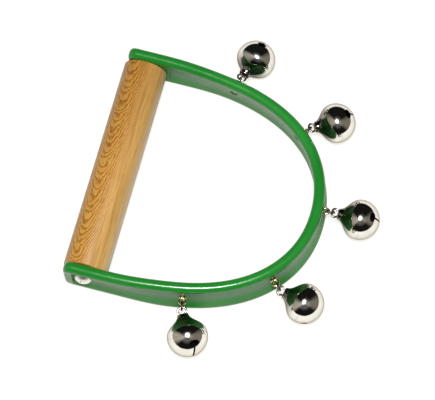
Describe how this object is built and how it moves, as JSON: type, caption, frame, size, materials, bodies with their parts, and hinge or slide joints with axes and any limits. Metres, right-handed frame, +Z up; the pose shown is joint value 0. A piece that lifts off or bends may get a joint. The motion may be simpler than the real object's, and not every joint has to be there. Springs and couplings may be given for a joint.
{
  "type": "jingle bell ring",
  "caption": "Hand jingle bell ring: a green plastic D-shaped bow screwed to a round wooden grip, with chrome jingle bells hung on loose links.",
  "frame": {"origin": "middle of the footprint, on the surface that the ring lies on", "axes": "+X from the grip to the crown of the bow, +Y along the grip, +Z up out of the plane of the bow"},
  "size_m": [0.1438, 0.168, 0.024],
  "materials": {
    "green_plastic": "glossy moulded green",
    "grip_wood": "smooth, clear satin varnish",
    "screw_steel": "bright zinc plate",
    "eye_brass": "bright brass plate",
    "bell_plate": "polished nickel plate",
    "wire_steel": "bright drawn wire"
  },
  "bodies": {
    "frame": {"bow": "green_plastic", "grip": "grip_wood", "screw_near": "screw_steel", "screw_far": "screw_steel", "eye_1": "eye_brass", "eye_2": "eye_brass", "eye_3": "eye_brass", "eye_4": "eye_brass", "eye_5": "eye_brass"},
    "link_1_body": {"link_1": "wire_steel"},
    "bell_1_body": {"bell_1_crown": "bell_plate", "bell_1_base": "bell_plate", "bell_1_shank": "wire_steel"},
    "pellet_1_body": {"bell_1_pellet": "wire_steel"},
    "link_2_body": {"link_2": "wire_steel"},
    "bell_2_body": {"bell_2_crown": "bell_plate", "bell_2_base": "bell_plate", "bell_2_shank": "wire_steel"},
    "pellet_2_body": {"bell_2_pellet": "wire_steel"},
    "link_3_body": {"link_3": "wire_steel"},
    "bell_3_body": {"bell_3_crown": "bell_plate", "bell_3_base": "bell_plate", "bell_3_shank": "wire_steel"},
    "pellet_3_body": {"bell_3_pellet": "wire_steel"},
    "link_4_body": {"link_4": "wire_steel"},
    "bell_4_body": {"bell_4_crown": "bell_plate", "bell_4_base": "bell_plate", "bell_4_shank": "wire_steel"},
    "pellet_4_body": {"bell_4_pellet": "wire_steel"},
    "link_5_body": {"link_5": "wire_steel"},
    "bell_5_body": {"bell_5_crown": "bell_plate", "bell_5_base": "bell_plate", "bell_5_shank": "wire_steel"},
    "pellet_5_body": {"bell_5_pellet": "wire_steel"}
  },
  "joints": [
    {"name": "link_1_swing", "type": "hinge", "parent": "frame", "child": "link_1_body", "pos_m": [-0.01075, -0.06006, 0.01248], "axis": [-0.9805, -0.1965, 0], "range_deg": [-28.6, 54.4]},
    {"name": "bell_1_swing", "type": "hinge", "parent": "link_1_body", "child": "bell_1_body", "pos_m": [-0.01024, -0.06262, 0.01205], "axis": [0.0321, -0.1599, 0.9866], "range_deg": [-56, 24]},
    {"name": "pellet_1_rattle", "type": "slide", "parent": "bell_1_body", "child": "pellet_1_body", "axis": [0.0321, -0.1599, 0.9866], "range_m": [0, 0.0122]},
    {"name": "link_2_swing", "type": "hinge", "parent": "frame", "child": "link_2_body", "pos_m": [0.03138, -0.03897, 0.01248], "axis": [-0.6928, -0.7211, 0], "range_deg": [-27.7, 55.3]},
    {"name": "bell_2_swing", "type": "hinge", "parent": "link_2_body", "child": "bell_2_body", "pos_m": [0.03326, -0.04077, 0.012], "axis": [0.1292, -0.1241, 0.9838], "range_deg": [-71, 9]},
    {"name": "pellet_2_rattle", "type": "slide", "parent": "bell_2_body", "child": "pellet_2_body", "axis": [0.1292, -0.1241, 0.9838], "range_m": [0, 0.0122]},
    {"name": "link_3_swing", "type": "hinge", "parent": "frame", "child": "link_3_body", "pos_m": [0.04651, 0.00424, 0.01248], "axis": [0.0803, -0.9968, 0], "range_deg": [-28.9, 54.1]},
    {"name": "bell_3_swing", "type": "hinge", "parent": "link_3_body", "child": "bell_3_body", "pos_m": [0.04911, 0.00445, 0.01206], "axis": [0.1575, 0.0127, 0.9874], "range_deg": [-37.4, 42.6]},
    {"name": "pellet_3_rattle", "type": "slide", "parent": "bell_3_body", "child": "pellet_3_body", "axis": [0.1575, 0.0127, 0.9874], "range_m": [0, 0.0122]},
    {"name": "link_4_swing", "type": "hinge", "parent": "frame", "child": "link_4_body", "pos_m": [0.02577, 0.04282, 0.01248], "axis": [0.778, -0.6283, 0], "range_deg": [-28.4, 54.6]},
    {"name": "bell_4_swing", "type": "hinge", "parent": "link_4_body", "child": "bell_4_body", "pos_m": [0.02741, 0.04485, 0.01204], "axis": [0.105, 0.13, 0.9859], "range_deg": [-19, 61]},
    {"name": "pellet_4_rattle", "type": "slide", "parent": "bell_4_body", "child": "pellet_4_body", "axis": [0.105, 0.13, 0.9859], "range_m": [0, 0.0122]},
    {"name": "link_5_swing", "type": "hinge", "parent": "frame", "child": "link_5_body", "pos_m": [-0.01361, 0.05931, 0.01248], "axis": [0.9847, -0.1742, 0], "range_deg": [-28.8, 54.2]},
    {"name": "bell_5_swing", "type": "hinge", "parent": "link_5_body", "child": "bell_5_body", "pos_m": [-0.01316, 0.06189, 0.01205], "axis": [0.0278, 0.1573, 0.9872], "range_deg": [-30.3, 49.7]},
    {"name": "pellet_5_rattle", "type": "slide", "parent": "bell_5_body", "child": "pellet_5_body", "axis": [0.0278, 0.1573, 0.9872], "range_m": [0, 0.0122]}
  ]
}
